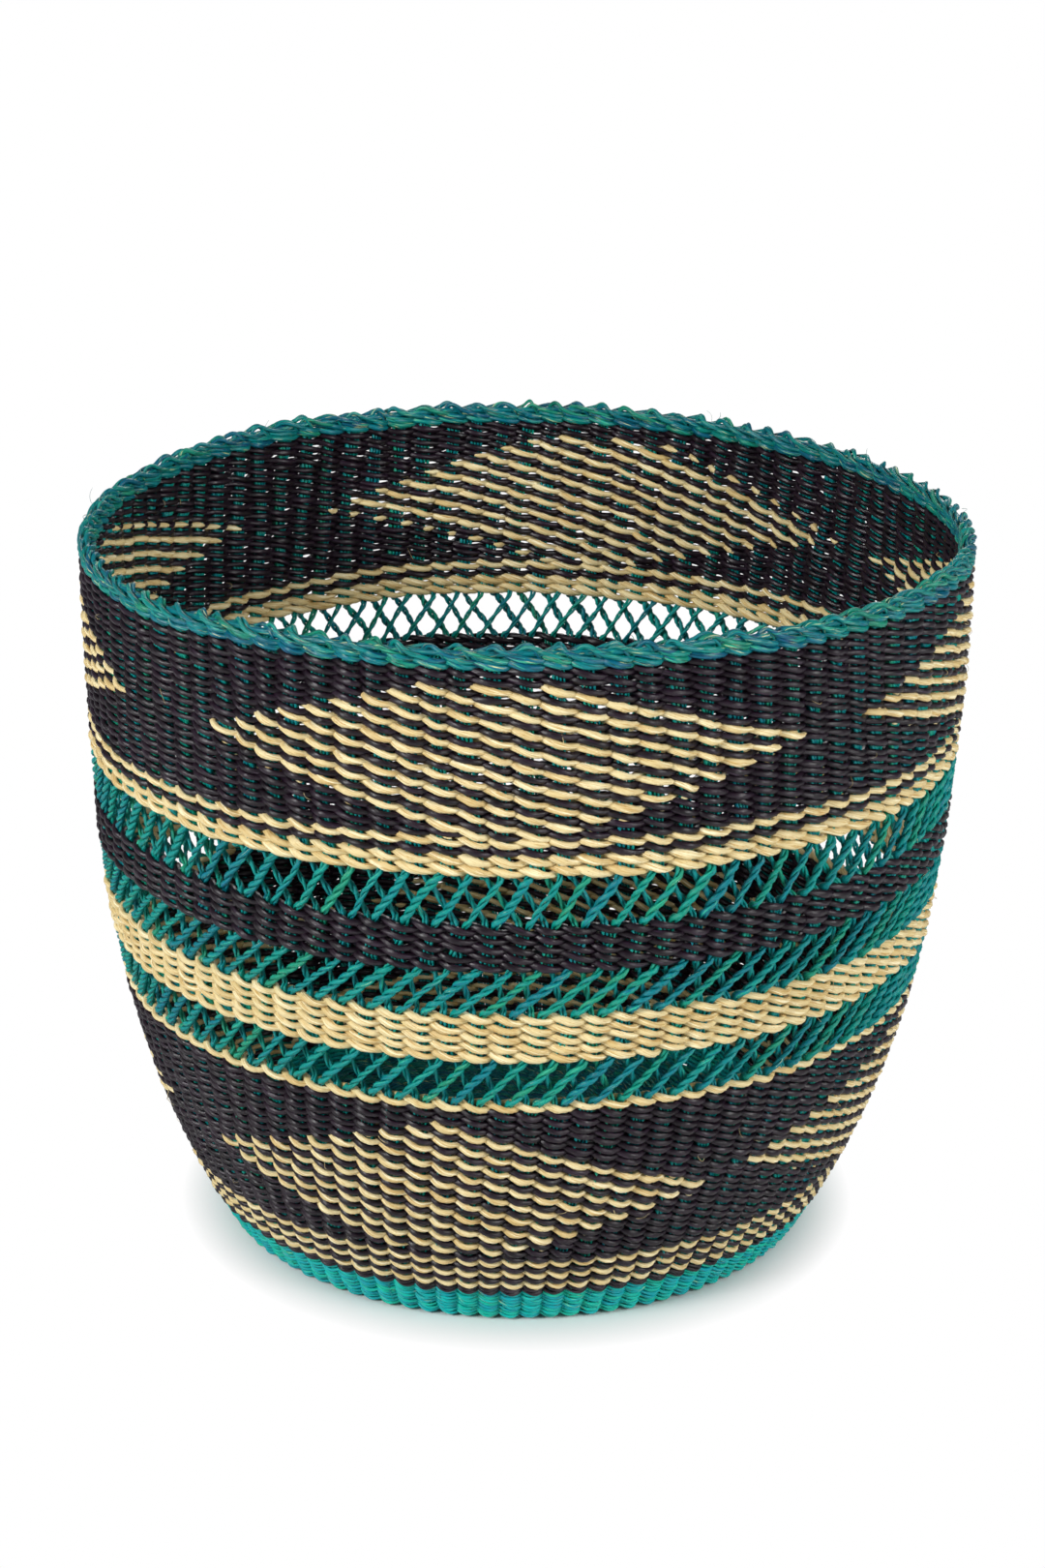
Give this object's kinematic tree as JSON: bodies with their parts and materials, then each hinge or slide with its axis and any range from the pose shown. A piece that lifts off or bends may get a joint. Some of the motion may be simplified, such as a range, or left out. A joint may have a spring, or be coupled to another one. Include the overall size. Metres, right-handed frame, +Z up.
{
  "type": "woven basket",
  "caption": "Round open storage basket of twined grass cords with a flared wall, solid bands, openwork rows of crossed stakes and a plaited rim.",
  "frame": {"origin": "on the floor, under the middle of the base", "axes": "+Z up through the open mouth, +X to the right and -Y towards the camera of the picture"},
  "size_m": [0.3862, 0.377, 0.3235],
  "materials": {
    "teal_grass": "dyed grass cord, two plies, semi-matt with a faint sheen, streaked from blue-green to green",
    "black_grass": "dyed grass strand, purple-black with a soft sheen on each stitch",
    "natural_grass": "undyed straw-coloured grass strand, uneven from pale cream to tan"
  },
  "bodies": {
    "root": {"base_disc": "teal_grass", "base_start": "teal_grass", "black_band": "black_grass", "foot_weave": "teal_grass", "hem_black": "black_grass", "high_openwork_inner_stakes": "teal_grass", "high_openwork_outer_stakes": "teal_grass", "lintel_rows": "natural_grass", "low_openwork_inner_stakes": "teal_grass", "low_openwork_outer_stakes": "teal_grass", "lower_course_1": "black_grass", "lower_course_2": "black_grass", "lower_field": "black_grass", "lower_stripe_1": "natural_grass", "lower_stripe_2": "natural_grass", "lower_stripe_3": "natural_grass", "mid_openwork_inner_stakes": "teal_grass", "mid_openwork_outer_stakes": "teal_grass", "natural_band": "natural_grass", "rim_border": "teal_grass", "rim_weave": "teal_grass", "sill_row": "natural_grass", "upper_course": "black_grass", "upper_field": "black_grass", "upper_stripe": "natural_grass"}
  },
  "joints": []
}
